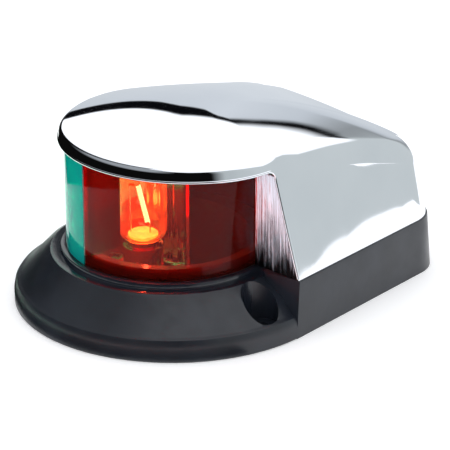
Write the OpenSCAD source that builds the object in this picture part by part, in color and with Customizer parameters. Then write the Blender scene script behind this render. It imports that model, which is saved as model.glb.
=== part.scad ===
// Bow navigation light: red and green lens under a chromed hood, on a black base.
// Millimetres. +Z is up, the bow is along -Y, port (red) is along +X.
// The origin lies on the deck plane, midway between the two mounting holes.

/* [Base] */
// Radius of the round front of the base
base_r = 43; // [42:0.5:45]
// Overall length of the base behind the origin
base_rear_y = 71; // [70:0.5:74]
// Taper of each side of the base, degrees
side_taper = 12.8; // [12:0.1:13.5]
// Radius of the two rear corners
rear_corner_r = 12; // [10:0.5:14]
// Height of the top face that carries the hood
seat_z = 16; // [15.5:0.1:16.5]
// Rearward slope of the rear face over the height of the base
rear_draft = 2; // [0:0.1:3]
// Thickness of the top plate
plate_t = 2.5; // [2:0.1:3]
// Thickness of the outer walls at the deck
skirt_t = 4.4; // [4:0.1:5]

/* [Lens] */
// Outer radius of the lens
lens_r = 27.5; // [27:0.1:28]
// Thickness of the lens wall
lens_t = 2.7; // [2.4:0.1:3]
// Height of the top edge of the lens
lens_top_z = 44.05; // [43.5:0.05:44.1]
// Sweep of each lens colour back from the bow, degrees
lens_sweep = 118; // [113:1:120]
// Thickness of the dark screen between the colours
screen_t = 0.6; // [0.4:0.1:1]

/* [Hood] */
// Height of the lower edge of the visor
visor_z = 44.3; // [44.2:0.05:45]
// Height of the highest point of the hood
crown_z = 53.6; // [52:0.1:56]
// Thickness of the hood wall
hood_t = 1.8; // [1.5:0.1:2.2]
// Radius of the visor over the lens
visor_r = 34.1; // [33.5:0.1:34.5]

/* [Lamp] */
// Distance of the lamp axis ahead of the origin
lamp_ahead = 10.3; // [9:0.1:11]
// Radius of the glass bulb
glass_r = 6.35; // [6:0.05:6.6]
// Radius of the metal cap
cap_r = 4.5; // [4.4:0.05:4.6]
// Travel of the lamp when it is pressed in
press_travel = 1.5; // [1:0.1:1.6]
// Turn that frees the lamp, degrees
turn_angle = 35; // [25:1:40]

/* [Mounting] */
// Distance between the two mounting holes
hole_spacing = 73; // [72:0.5:74]
// Radius of the mounting holes
hole_r = 2.4; // [2:0.1:2.7]
// Radius of the counterbores
counterbore_r = 4.9; // [4.5:0.1:5.2]
// Height of the counterbore floors
counterbore_z = 4; // [3:0.1:5]
// Radius of the wire hole in the grommet
wire_r = 1.9; // [1.5:0.1:2.2]

/* [Hidden] */
$fn = 96;
eps = 0.01;
black_plastic = [0.10, 0.10, 0.11];
rubber = [0.07, 0.07, 0.07];
chrome = [0.80, 0.82, 0.84];
brass = [0.80, 0.62, 0.28];
steel = [0.66, 0.67, 0.69];
phenolic = [0.32, 0.17, 0.09];

// Lens and flange
lens_y = -1.62;
lens_in_r = lens_r - lens_t;
seat_r = 29;
ring_r = 31.7;
ring_z = 14.6;
flange_slope = 0.70;
rim_slope = 1.1;
rim_z = 6.3;
rim_in = 2.1;
rim_wall_z = 3.4;
spigot_r = lens_in_r - 0.3;
spigot_t = 2.5;
spigot_z = 18.5;
well_r = spigot_r - spigot_t;
floor_z = 2.6;
floor_under_z = 0.8;
block_front = [32.5, 5.9];
block_foot = [30, 5.1];
groove_depth = 0.8;
tongue_t = 1.2;
tongue_z = lens_top_z + 1.55;

// Hood
hood_z = seat_z + 0.15;
hood_inset = 0.25;
band_h = 3.3;
front_edge_z = 47.2;
rear_edge_z = 33.8;
edge_end_y = 66;
edge_fall = 1.64;
visor_edge_r = 1;
shoulder_edge_r = 5.8;
shoulder_from_y = -5;
shoulder_run = 20;
visor_y = 4.8;
shoulder_corner = [17.3, 55.1];
shoulder_corner_r = 10.9;
shoulder_bow = 2.1;
foot_bow = 0.6;
foot_nose = 0.75;
pole_y = 6.6;
groove_top_z = visor_z + 2.6;
return_in = [26, 6.2];
return_low = [41.7, 8.4];
return_high = [34.95, 6.7];
boss_r = 3.6;
boss_places = [[33, 15], [-33, 15], [0, 59]];
boss_top_z = 37;
hood_screw_r = 1.9;
hood_screw_clear = 0.2;
hood_screw_top_z = 26;
head_r = 3.3;
head_h = 2.2;
head_under_z = 11;

// Lamp and socket, heights from the deck
shell_r = 5.3;
shell_t = 0.55;
shell_z = 3.9;
shell_top_z = 17.6;
bracket_z = 7;
bracket_t = 1;
bracket_screw_x = 12.5;
bracket_screw_r = 1.45;
bracket_hole_r = 1.65;
bracket_head_r = 2.6;
bracket_head_h = 1.6;
bracket_pillar_r = 3.2;
bracket_grip = 5.1;
blade_w = 4.8;
blade_length = 13;
insulator_z = 3.4;
spring_z = 4.9;
carrier_z = 8;
carrier_t = 1.2;
tip_z = 9.45;
cap_z = 10.9;
cap_top_z = 19.3;
pin_z = 14.6;
pin_r = 0.8;
pin_gap = 0.3;
glass_foot_z = 16.5;
glass_wide_z = 22.4;
glass_top_z = 42.3;
glass_t = 0.5;
bead_z = 20;
filament_low_z = 23.2;
filament_high_z = 33.4;
filament_r = 0.55;
lead_r = 0.22;
reflector_r = 12;
reflector_t = 0.8;
reflector_top_z = 43;
reflector_half = 49;
reflector_foot_z = bracket_z + bracket_t;
foot_t = 0.5;

// Seals and wire hole
grommet_y = 12;
grommet_neck_r = 3.2;
grommet_flange_r = 4.8;
gasket_t = 1.4;
block_hollow_y = 14;

// ---------- Outlines ----------

// Half outline, bow to stern on the port side: a bow arc, a straight side tangent to it,
// a corner arc and a slightly bowed rear. nose flattens the bow arc ahead of its centre.
function half_outline(yc, r, nose, corner_x, corner_y, corner, bow, arc_n, corner_n) =
    let (
        reach = norm([corner_x, corner_y - yc]),
        side = atan2(corner_y - yc, corner_x) - acos((r - corner) / reach),
        half_w = corner_x + corner
    )
    concat(
        [for (i = [0 : arc_n]) let (t = -90 + (side + 90) * i / arc_n)
            [r * cos(t), yc + r * sin(t) * (t < 0 ? nose : 1)]],
        [for (i = [0 : corner_n]) let (t = side + (90 - side) * i / corner_n)
            bowed([corner_x + corner * cos(t), corner_y + corner * sin(t)],
                corner_y, corner, half_w, bow)],
        [bowed([0, corner_y + corner], corner_y, corner, half_w, bow)]
    );

// Rear points pushed back by the bow of the rear face
function bowed(p, corner_y, corner, half_w, bow) =
    let (w = max(0, min(1, (p.y - corner_y) / corner)))
    [p.x, p.y + bow * w * (1 - pow(p.x / half_w, 2))];

// Both halves as one closed loop; the two points on the centreline are used once
function closed(half) = concat(half, [for (i = [len(half) - 2 : -1 : 1]) [-half[i].x, half[i].y]]);

// Centre of a rear corner whose circle touches the straight side and the rear face
function corner_centre(r, corner, rear_y) =
    [(r - corner - sin(side_taper) * (rear_y - corner)) / cos(side_taper), rear_y - corner];

// Outline of the base drawn in by a distance
function base_outline(inset, rear_y = base_rear_y, arc_n = 48, corner_n = 12) =
    let (c = corner_centre(base_r, rear_corner_r, rear_y))
    closed(half_outline(0, base_r - inset, 1, c.x, c.y, rear_corner_r - inset, 0, arc_n, corner_n));

// Outline of the hood at its lower edge, drawn in by a distance
function hood_low(inset, arc_n, corner_n) =
    let (c = corner_centre(base_r - hood_inset, rear_corner_r, base_rear_y - rear_draft - foot_bow))
    half_outline(0, base_r - hood_inset - inset, foot_nose, c.x, c.y, rear_corner_r - inset, foot_bow,
        arc_n, corner_n);

// Outline of the hood at its shoulder, drawn in by a distance
function hood_high(inset, arc_n, corner_n) =
    half_outline(visor_y, visor_r - inset, 1, shoulder_corner.x, shoulder_corner.y,
        shoulder_corner_r - inset, shoulder_bow, arc_n, corner_n);

// ---------- Hood surface ----------

// Height of the hood's edge above the deck at a point of its outline
function edge_z(y, drop) =
    front_edge_z - drop
        - (front_edge_z - rear_edge_z) * pow(max(0, min(1, y / edge_end_y)), edge_fall);

// Radius that rounds the edge: tight on the visor, full on the shoulders
function edge_round(y) = visor_edge_r
    + (shoulder_edge_r - visor_edge_r) * max(0, min(1, (y - shoulder_from_y) / shoulder_run));

// Height of the hood at the fraction f of the way from its pole to the edge point p
function crown(p, f, drop) =
    let (
        ze = edge_z(p.y, drop),
        rf = edge_round(p.y),
        reach = norm([p.x, p.y - pole_y]),
        s = max(0, min(rf, f * reach - (reach - rf)))
    )
    ze + (crown_z - drop - ze) * (1 - f * f) - (rf - sqrt(max(0, rf * rf - s * s)));

// Closed body of the hood's outer form, or of its inner form when drawn in
module hood_form(inset, floor_height, arc_n = 16, corner_n = 7) {
    high = closed(hood_high(inset, arc_n, corner_n));
    low = closed(hood_low(inset, arc_n, corner_n));
    n = len(high);
    fractions = [0.25, 0.5, 0.7, 0.84, 0.91, 0.96, 0.985, 1];
    dome = [for (i = [len(fractions) - 1 : -1 : 0]) let (f = fractions[i])
        [for (p = high) [p.x * f, pole_y + (p.y - pole_y) * f, crown(p, f, inset)]]];
    walls = [for (k = [0, 0.5]) [for (i = [0 : n - 1])
        let (top = dome[0][i], p = low[i] + (high[i] - low[i]) * k)
        [p.x, p.y, floor_height + (top.z - floor_height) * k]]];
    rings = concat(walls, dome);
    rows = len(rings);
    points = concat([for (ring = rings) each ring], [[0, pole_y, crown_z - inset]]);
    faces = concat(
        [[for (i = [0 : n - 1]) i]],
        [for (r = [0 : rows - 2], i = [0 : n - 1]) let (j = (i + 1) % n) each [
            [r * n + i, (r + 1) * n + i, r * n + j],
            [r * n + j, (r + 1) * n + i, (r + 1) * n + j]]],
        [for (i = [0 : n - 1]) [(rows - 1) * n + i, rows * n, (rows - 1) * n + (i + 1) % n]]
    );
    polyhedron(points, faces, convexity = 6);
}

// Space in front of the hood's return faces; shift moves it towards the stern
module window_space(shift) {
    far = [90, -60];
    low = [far, return_low * 2 - return_in, return_low, return_in];
    high = [far, return_high * 2 - return_in, return_high, return_in];
    translate([0, shift, 0])
        slab_between(both_sides(low), hood_z - eps, both_sides(high), visor_z);
}

// Port points followed by their starboard mirror images, as one loop
function both_sides(points) =
    concat(points, [for (i = [len(points) - 1 : -1 : 0]) [-points[i].x, points[i].y]]);

// Body between two outlines of equal length at two heights
module slab_between(low, low_z, high, high_z) {
    n = len(low);
    points = concat([for (p = low) [p.x, p.y, low_z]], [for (p = high) [p.x, p.y, high_z]]);
    faces = concat(
        [[for (i = [0 : n - 1]) i], [for (i = [n - 1 : -1 : 0]) n + i]],
        [for (i = [0 : n - 1]) let (j = (i + 1) % n) each [[i, n + i, j], [j, n + i, n + j]]]
    );
    polyhedron(points, faces, convexity = 6);
}

// ---------- Simple shapes ----------

// Upright cylinder between two heights
module post(r, low, high) translate([0, 0, low]) cylinder(r = r, h = high - low);

// Upright ring between two heights
module ring(outer, inner, low, high) difference() {
    post(outer, low, high);
    post(inner, low - 1, high + 1);
}

// Ring sector between two heights, from one angle to another
module sector(outer, inner, low, high, from, to)
    rotate([0, 0, from]) rotate_extrude(angle = to - from)
        translate([inner, low]) square([outer - inner, high - low]);

module at_lens() translate([0, lens_y, 0]) children();
module at_lamp() translate([0, -lamp_ahead, 0]) children();
module at_mounts() for (side = [-1, 1]) translate([side * hole_spacing / 2, 0, 0]) children();
module at_hood_screws() for (p = boss_places) translate(p) children();
module at_bracket_screws() for (side = [-1, 1]) translate([side * bracket_screw_x, 0, 0]) children();

// Flat band following the outline of the base between two insets
module base_band(outer, inner, low, high) translate([0, 0, low]) linear_extrude(high - low)
    difference() {
        polygon(base_outline(outer));
        polygon(base_outline(inner));
    }

// ---------- Base ----------

// Round flange: a shallow cone about the lens cut by a steeper rim about the origin
module flange() {
    cone_r = base_r + 3;
    intersection() {
        at_lens() rotate_extrude() polygon([
            [0, 0], [cone_r, 0], [cone_r, ring_z - flange_slope * (cone_r - ring_r)],
            [ring_r, ring_z], [seat_r, ring_z], [seat_r, seat_z], [0, seat_z]]);
        rotate_extrude() polygon([
            [0, 0], [base_r, 0], [base_r, rim_wall_z], [base_r - rim_in / 7, rim_z - 1.3],
            [base_r - rim_in / 2.5, rim_z - 0.45], [base_r - rim_in, rim_z],
            [base_r - rim_in - 12, rim_z + 12 * rim_slope], [0, rim_z + 12 * rim_slope]]);
    }
}

// Block behind the flange that carries the hood; its front and rear faces lean
module block() {
    top = base_outline(0, base_rear_y - rear_draft, 24, 8);
    low = base_outline(0, base_rear_y, 24, 8);
    front_top = [for (p = top) if (p.y > 8) p];
    front_low = [for (p = low) if (p.y > 7.4) p];
    hull() {
        translate([0, 0, seat_z - eps]) linear_extrude(eps)
            polygon(concat([[-block_front.x, block_front.y], block_front], front_top));
        linear_extrude(eps) polygon(concat([[-block_foot.x, block_foot.y], block_foot], front_low));
    }
}

// Hollow under the base, open towards the deck
module underside() {
    difference() {
        union() {
            rotate_extrude() polygon([
                [0, -1], [base_r - skirt_t, -1], [base_r - skirt_t, rim_z - 1.5],
                [ring_r + 1.5, ring_z - plate_t - 1.8], [0, ring_z - plate_t - 1.8]]);
            translate([0, 0, -1]) linear_extrude(seat_z - plate_t + 1) intersection() {
                polygon(base_outline(skirt_t));
                translate([-base_r, block_hollow_y]) square([2 * base_r, base_rear_y]);
            }
        }
        at_lens() post(spigot_r, -2, seat_z);
        at_mounts() post(counterbore_r + 2.3, -2, seat_z);
        at_hood_screws() post(head_r + 1.8, -2, seat_z);
    }
}

module base_housing() color(black_plastic) difference() {
    union() {
        flange();
        block();
        at_lens() post(spigot_r, floor_z, spigot_z);
    }
    underside();
    difference() {
        at_lens() post(well_r, floor_z, spigot_z + 1);
        at_lamp() at_bracket_screws() post(bracket_pillar_r, floor_z - 1, bracket_z);
    }
    at_lens() post(spigot_r - 1, -1, floor_under_z);
    at_lens() ring(lens_r + 0.1, spigot_r, seat_z - groove_depth, seat_z + 1);
    at_mounts() post(hole_r, -1, seat_z);
    at_mounts() post(counterbore_r, counterbore_z, seat_z + 1);
    at_hood_screws() post(hood_screw_r + hood_screw_clear, -1, seat_z + 1);
    at_hood_screws() post(head_r + 0.4, -1, head_under_z);
    at_lamp() at_bracket_screws() post(bracket_screw_r + 0.05, floor_z + 0.6, bracket_z + 1);
    translate([0, grommet_y, 0]) post(grommet_neck_r, -1, floor_z + 1);
    hood_seal_space(0.05);
    base_band(1.2, 3.2, -1, gasket_t);
}

// Room for the seal under the hood's walls, open at the lens
module hood_seal_space(extra) {
    width = 1.2;
    inset = hood_inset + hood_t / 2 + width / 2;
    difference() {
        translate([0, 0, seat_z - groove_depth]) linear_extrude(groove_depth + extra) difference() {
            polygon(base_outline(inset - width, base_rear_y - rear_draft));
            polygon(base_outline(inset, base_rear_y - rear_draft));
        }
        translate([-50, -50, 0]) cube([100, 60.5, 30]);
    }
}

module hood_seal() color(rubber) hood_seal_space(0);

module deck_gasket() color(rubber) base_band(1.25, 3.15, 0, gasket_t);

module lens_seal_lower() color(rubber) at_lens()
    ring(lens_r, lens_in_r, seat_z - groove_depth, seat_z);

module wire_grommet() color(rubber) translate([0, grommet_y, 0]) rotate_extrude() polygon([
    [wire_r, floor_under_z - 0.7], [grommet_flange_r - 1, floor_under_z - 0.7],
    [grommet_flange_r - 1, floor_under_z], [grommet_neck_r, floor_under_z],
    [grommet_neck_r, floor_z], [grommet_flange_r, floor_z], [grommet_flange_r, floor_z + 0.9],
    [wire_r + 1.2, floor_z + 2.6], [wire_r, floor_z + 2.6]]);

// ---------- Lens ----------

// One colour of the lens, from the screen round to the stern; mirrored for starboard
module lens_half() {
    gap = screen_t / 2;
    difference() {
        at_lens() rotate([0, 0, -90]) rotate_extrude(angle = lens_sweep) polygon([
            [lens_in_r, seat_z], [lens_r, seat_z], [lens_r, lens_top_z],
            [lens_in_r + tongue_t, lens_top_z], [lens_in_r + tongue_t, tongue_z],
            [lens_in_r, tongue_z]]);
        translate([-1, lens_y - lens_r - 1, seat_z - 1]) cube([1 + gap, 10, 40]);
    }
}

module lens_red() color([0.55, 0.05, 0.05]) lens_half();

module lens_green() color([0.05, 0.55, 0.45]) mirror([1, 0, 0]) lens_half();

module lens_screen() color(black_plastic) translate([-screen_t / 2, 0, 0]) {
    front_y = lens_y - lens_r + 0.05;
    translate([0, front_y, spigot_z + 0.3])
        cube([screen_t, -lamp_ahead - glass_r - 1.1 - front_y, lens_top_z - spigot_z - 0.3]);
}

module lens_seal_upper() color(rubber) at_lens()
    sector(lens_in_r + tongue_t + 0.2, lens_in_r - 0.2, tongue_z + 0.3, groove_top_z, -208, 28);

// ---------- Lamp holder ----------

module reflector() color(chrome) at_lamp() {
    sector(reflector_r + reflector_t / 2, reflector_r - reflector_t / 2, reflector_foot_z,
        reflector_top_z, 90 - reflector_half, 90 + reflector_half);
    difference() {
        sector(bracket_screw_x + 3, reflector_r - 1.4, reflector_foot_z,
            reflector_foot_z + foot_t, -12, 192);
        at_bracket_screws() post(bracket_hole_r, 0, seat_z);
    }
}

module socket_bracket() color(steel) at_lamp() difference() {
    union() {
        translate([-bracket_screw_x, -4.5, bracket_z]) cube([2 * bracket_screw_x, 9, bracket_t]);
        at_bracket_screws() post(4.5, bracket_z, bracket_z + bracket_t);
        post(8, bracket_z, bracket_z + bracket_t);
    }
    post(shell_r, 0, seat_z);
    at_bracket_screws() post(bracket_hole_r, 0, seat_z);
}

// Round-headed screw with a cross recess; the head's underside is at the given height
module cross_screw(shank_r, head_radius, head_height, length, under_z) {
    translate([0, 0, under_z]) difference() {
        rotate_extrude() polygon([
            [0, -length], [shank_r * 0.4, -length], [shank_r, -length + 1.2], [shank_r, 0],
            [head_radius, 0], [head_radius, head_height * 0.45],
            [head_radius * 0.82, head_height * 0.85],
            [head_radius * 0.5, head_height], [0, head_height]]);
        for (turn = [0, 90]) rotate([0, 0, turn])
            translate([-head_radius * 0.55, -head_radius * 0.09, head_height * 0.5])
                cube([head_radius * 1.1, head_radius * 0.18, head_height]);
    }
}

module bracket_screws() color(steel) at_lamp() {
    stack = reflector_foot_z + foot_t;
    translate([bracket_screw_x, 0, 0])
        cross_screw(bracket_screw_r, bracket_head_r, bracket_head_h, bracket_grip + foot_t, stack + foot_t);
    translate([-bracket_screw_x, 0, 0])
        cross_screw(bracket_screw_r, bracket_head_r, bracket_head_h, bracket_grip, stack);
}

module socket_shell() color(brass) at_lamp() difference() {
    bore = shell_r - shell_t;
    rim_low = bracket_z + bracket_t;
    rotate_extrude() polygon([
        [bore, shell_z], [shell_r, shell_z], [shell_r, rim_low], [shell_r + 0.9, rim_low],
        [shell_r + 0.9, rim_low + 0.6], [shell_r, rim_low + 0.6], [shell_r, shell_top_z],
        [bore, shell_top_z]]);
    for (turn = [0, 180]) rotate([0, 0, turn]) {
        half = pin_width_angle();
        sector(shell_r + 1, bore - 1, pin_z - pin_r - pin_gap - press_travel,
            pin_z + pin_r + pin_gap, -half, turn_angle + half - 0.5);
        sector(shell_r + 1.2, bore - 1.2, pin_z, shell_top_z + 1,
            turn_angle - half, turn_angle + half);
    }
}

// Half the angle that a pin and its gap take up at the shell
function pin_width_angle() = asin((pin_r + pin_gap) / (shell_r - shell_t));

module socket_insulator() color(phenolic) at_lamp() difference() {
    union() {
        post(shell_r, insulator_z, shell_z);
        post(shell_r - shell_t, shell_z - eps, spring_z);
    }
    post(1, insulator_z - 1, spring_z + 1);
}

module live_terminal() color(brass) at_lamp() {
    post(1, insulator_z - foot_t, spring_z + 0.2);
    post(1.6, spring_z, spring_z + 0.35);
    translate([-blade_w / 2, -3, insulator_z - foot_t]) cube([blade_w, blade_length, foot_t]);
}

module earth_terminal() color(steel) at_lamp() translate([bracket_screw_x, 0, 0]) {
    difference() {
        union() {
            post(2.9, reflector_foot_z + foot_t, reflector_foot_z + 2 * foot_t);
            rotate([0, 0, -110]) translate([0, -1.6, reflector_foot_z + foot_t])
                cube([7.5, 3.2, foot_t]);
        }
        post(bracket_hole_r, 0, seat_z);
    }
}

// ---------- Contact ----------

// Round wire swept along a helix of the given radius between two heights
module coil(r, wire, low, high, turns, steps) {
    sides = 8;
    slope = atan2((high - low - 2 * wire) / turns, 2 * PI * r);
    points = [for (i = [0 : steps]) let (
            t = 360 * turns * i / steps,
            z = low + wire + (high - low - 2 * wire) * i / steps
        ) each [for (k = [0 : sides - 1]) let (
            u = 360 * k / sides,
            out = wire * cos(u),
            up = wire * sin(u)
        ) [(r + out) * cos(t) + up * sin(slope) * sin(t),
            (r + out) * sin(t) - up * sin(slope) * cos(t), z + up * cos(slope)]]];
    faces = concat(
        [[for (k = [0 : sides - 1]) k], [for (k = [sides - 1 : -1 : 0]) steps * sides + k]],
        [for (i = [0 : steps - 1], k = [0 : sides - 1]) let (m = (k + 1) % sides) each [
            [i * sides + k, (i + 1) * sides + k, i * sides + m],
            [i * sides + m, (i + 1) * sides + k, (i + 1) * sides + m]]]
    );
    polyhedron(points, faces, convexity = 8);
}

module contact_spring() color(steel) at_lamp() coil(3, 0.22, spring_z, carrier_z, 3.5, 70);

module contact_carrier() color(phenolic) at_lamp() difference() {
    post(shell_r - shell_t - 0.3, carrier_z, carrier_z + carrier_t);
    post(1.5, carrier_z - 1, carrier_z + carrier_t + 1);
}

module contact_button() color(brass) at_lamp() rotate_extrude() polygon([
    [0, carrier_z - 0.4], [2.1, carrier_z - 0.4], [2.1, carrier_z], [1.5, carrier_z],
    [1.5, tip_z - 0.25], [1.1, tip_z - 0.1], [0, tip_z - 0.1]]);

// ---------- Lamp ----------

module bulb_tip_contact() color(steel) at_lamp() rotate_extrude() polygon([
    [0, tip_z], [0.9, tip_z], [1.6, tip_z + 0.35], [1.6, tip_z + 0.65], [0, tip_z + 0.65]]);

module bulb_tip_insulator() color([0.05, 0.05, 0.07]) at_lamp() rotate_extrude() polygon([
    [0, tip_z + 0.65], [1.9, tip_z + 0.65], [cap_r - 0.7, cap_z], [cap_r - 0.7, cap_z + 0.8],
    [0, cap_z + 0.8]]);

module bulb_cap() color(brass) at_lamp() difference() {
    rotate_extrude() polygon([
        [cap_r - 0.7, cap_z], [cap_r - 0.2, cap_z], [cap_r, cap_z + 0.2], [cap_r, cap_top_z - 0.3],
        [cap_r + 0.15, cap_top_z], [cap_r - 0.3, cap_top_z], [cap_r - 0.3, cap_z + 0.8],
        [cap_r - 0.7, cap_z + 0.8]]);
    translate([-10, 0, pin_z]) rotate([0, 90, 0]) cylinder(r = pin_r, h = 20);
}

module bulb_pins() color(brass) at_lamp() for (side = [0, 180]) rotate([0, 0, side])
    translate([cap_r - 0.8, 0, pin_z]) rotate([0, 90, 0])
        cylinder(r = pin_r, h = shell_r + 0.1 - cap_r + 0.8);

module bulb_stem() color([0.85, 0.9, 0.9]) at_lamp() rotate_extrude() polygon([
    [0, cap_z + 1.6], [2.4, cap_z + 1.6], [2.4, bead_z - 1], [4, bead_z - 0.2], [4, bead_z + 0.5],
    [0, bead_z + 0.8]]);

// Straight round wire between two points
module wire(from, to, r) {
    d = to - from;
    translate(from) rotate([0, atan2(norm([d.x, d.y]), d.z), atan2(d.y, d.x)])
        cylinder(r = r, h = norm(d), $fn = 16);
}

filament_low = [0.9, 0.9, filament_low_z];
filament_high = [-0.9, -0.9, filament_high_z];

module filament_supports() color(steel) at_lamp() {
    wire([1.3, 1.3, bead_z + 0.5], filament_low + [0.4, 0.4, 0], lead_r);
    wire([-2.3, -2.3, bead_z + 0.5], [-2.6, -2.6, filament_high_z], lead_r);
    wire([-2.6, -2.6, filament_high_z], filament_high + [-0.6, -0.6, 0], lead_r);
    translate([-2.6, -2.6, filament_high_z]) sphere(r = lead_r, $fn = 16);
}

module bulb_filament() color([1, 0.8, 0.4]) at_lamp()
    wire(filament_low, filament_high, filament_r);

module bulb_glass() color([0.9, 0.95, 1, 0.4]) at_lamp() {
    foot = cap_r - 0.4;
    swell = glass_r - foot;
    low_arc = [for (i = [0 : 10]) let (t = 90 * i / 10)
        [foot + swell * sin(t), glass_wide_z - (glass_wide_z - cap_top_z) * cos(t)]];
    top_arc = [for (i = [0 : 10]) let (t = 90 * i / 10)
        [glass_r * cos(t), glass_top_z - glass_r + glass_r * sin(t)]];
    inner = glass_t;
    inner_top = [for (i = [10 : -1 : 0]) let (t = 90 * i / 10)
        [(glass_r - inner) * cos(t), glass_top_z - glass_r + (glass_r - inner) * sin(t)]];
    inner_low = [for (i = [10 : -1 : 0]) let (t = 90 * i / 10)
        [foot - inner + swell * sin(t), glass_wide_z - (glass_wide_z - cap_top_z - 0.3) * cos(t)]];
    rotate_extrude() polygon(concat([[foot, glass_foot_z]], low_arc, top_arc, inner_top, inner_low,
        [[foot - inner, glass_foot_z]]));
}

// ---------- Hood ----------

module hood_screws() color(steel) at_hood_screws() translate([0, 0, head_under_z]) mirror([0, 0, 1])
    cross_screw(hood_screw_r, head_r, head_h, hood_screw_top_z - head_under_z, 0);

// Plate over the lens with the groove that holds its tongue
module visor_plate() difference() {
    intersection() {
        hood_form(0.6, hood_z);
        union() {
            translate([-60, -60, visor_z]) cube([120, 60 + return_in.y, band_h]);
            at_lens() post(lens_r + 0.7, visor_z, visor_z + band_h);
        }
        translate([-60, -60, 0]) cube([120, 74, 60]);
    }
    at_lens() post(lens_in_r - 1.6, visor_z - 1, visor_z + band_h + 1);
}

// Walls that face forward on each side of the lens
module return_walls() difference() {
    intersection() {
        hood_form(0.6, hood_z);
        difference() {
            window_space(hood_t);
            window_space(0);
        }
    }
    at_lens() post(lens_r + 0.3, 0, 60);
}

module hood() color(chrome) difference() {
    union() {
        difference() {
            hood_form(0, hood_z);
            hood_form(hood_t, hood_z - 1);
            window_space(0);
        }
        return_walls();
        visor_plate();
        intersection() {
            hood_form(0.6, hood_z);
            at_hood_screws() post(boss_r, hood_z, boss_top_z);
        }
    }
    at_lens() ring(lens_in_r + tongue_t + 0.3, lens_in_r - 0.3, visor_z - 1, groove_top_z);
    at_hood_screws() post(hood_screw_r + hood_screw_clear, hood_z - 1, hood_screw_top_z + 1.2);
}

base_housing();
deck_gasket();
wire_grommet();
hood_seal();
lens_seal_lower();
lens_red();
lens_green();
lens_screen();
reflector();
socket_bracket();
bracket_screws();
socket_shell();
socket_insulator();
live_terminal();
earth_terminal();
contact_spring();
contact_carrier();
contact_button();
bulb_tip_contact();
bulb_tip_insulator();
bulb_cap();
bulb_pins();
bulb_stem();
filament_supports();
bulb_filament();
bulb_glass();
hood_screws();
hood();
lens_seal_upper();
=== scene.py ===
"""Looks of the bow navigation light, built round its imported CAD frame. Metres, +Z up, bow along -Y."""
import math

import bmesh
import bpy
from mathutils import Matrix, Vector


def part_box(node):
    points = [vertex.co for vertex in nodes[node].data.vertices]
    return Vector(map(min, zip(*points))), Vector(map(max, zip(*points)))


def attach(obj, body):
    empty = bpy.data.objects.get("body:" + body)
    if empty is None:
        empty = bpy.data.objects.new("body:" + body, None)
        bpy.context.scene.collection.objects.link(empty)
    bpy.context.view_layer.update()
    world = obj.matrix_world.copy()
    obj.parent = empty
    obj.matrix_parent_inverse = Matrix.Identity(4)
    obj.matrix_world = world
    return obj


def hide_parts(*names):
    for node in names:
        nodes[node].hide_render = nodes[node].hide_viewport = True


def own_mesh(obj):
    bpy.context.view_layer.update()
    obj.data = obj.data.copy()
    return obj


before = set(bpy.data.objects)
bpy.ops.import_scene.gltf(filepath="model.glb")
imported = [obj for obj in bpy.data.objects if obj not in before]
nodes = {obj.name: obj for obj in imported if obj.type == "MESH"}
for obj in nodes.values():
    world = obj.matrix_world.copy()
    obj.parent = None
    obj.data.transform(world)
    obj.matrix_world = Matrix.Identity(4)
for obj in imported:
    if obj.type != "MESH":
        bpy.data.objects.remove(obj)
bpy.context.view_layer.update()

MM = 0.001
scene = bpy.context.scene


def span(node):
    """Lowest and highest corner of a CAD node, in millimetres."""
    low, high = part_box(node)
    return Vector(low) / MM, Vector(high) / MM


# ---------------------------------------------------------------- sizes, in millimetres
base_low, base_high = span("base_housing")
lens_low, lens_high = span("lens_red")
hood_low_corner, hood_high_corner = span("hood")
cap_low, cap_high = span("bulb_cap")
glass_low, glass_high = span("bulb_glass")

BASE_R = -base_low.y
REAR_Y = base_high.y
LENS_R = lens_high.x
LENS_Y = lens_low.y + LENS_R
LENS_T = 2.7
LENS_IN_R = LENS_R - LENS_T
LENS_TOP_Z = 44.05
TONGUE_Z = lens_high.z
TONGUE_T = 1.2
LENS_SWEEP = math.radians(118)
SEAT_Z = lens_low.z
LAMP_Y = (cap_low.y + cap_high.y) / 2
SIDE_TAPER = math.radians(12.8)
CORNER_R = 12
REAR_DRAFT = 2
SKIRT_T = 4.4
PLATE_T = 2.5
LENS_SLIP = 0.3
SPIGOT_R = LENS_IN_R - LENS_SLIP
SPIGOT_T = 2.5
SPIGOT_Z = base_high.z
WELL_R = SPIGOT_R - SPIGOT_T
FLOOR_Z = 2.6
FLOOR_UNDER_Z = 0.8
RING_R = 31.7
RING_Z = 14.6
SEAT_R = 29
HOLE_X = 36.5
COUNTERBORE_R = 4.9
COUNTERBORE_Z = 4
HOLE_R = 2.4
VISOR_Z = 44.3
HOOD_Z = hood_low_corner.z
CROWN_Z = hood_high_corner.z
HOOD_T = 1.8
FLANGE_Z = 6.3
ABOVE_Z = 60


# ---------------------------------------------------------------- mesh helpers
def add_object(name, bm, smooth_angle=35):
    """Turns a bmesh whose units are millimetres into a linked object, smooth but for its sharp edges."""
    bmesh.ops.scale(bm, vec=(MM, MM, MM), verts=bm.verts)
    bmesh.ops.recalc_face_normals(bm, faces=bm.faces)
    mesh = bpy.data.meshes.new(name)
    bm.to_mesh(mesh)
    bm.free()
    obj = bpy.data.objects.new(name, mesh)
    bpy.context.collection.objects.link(obj)
    shade(obj, smooth_angle)
    return obj


def shade(obj, smooth_angle=35):
    """Smooth shading that stays sharp along edges steeper than the angle."""
    mesh = obj.data
    mesh.shade_smooth()
    mesh.set_sharp_from_angle(angle=math.radians(smooth_angle))


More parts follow.
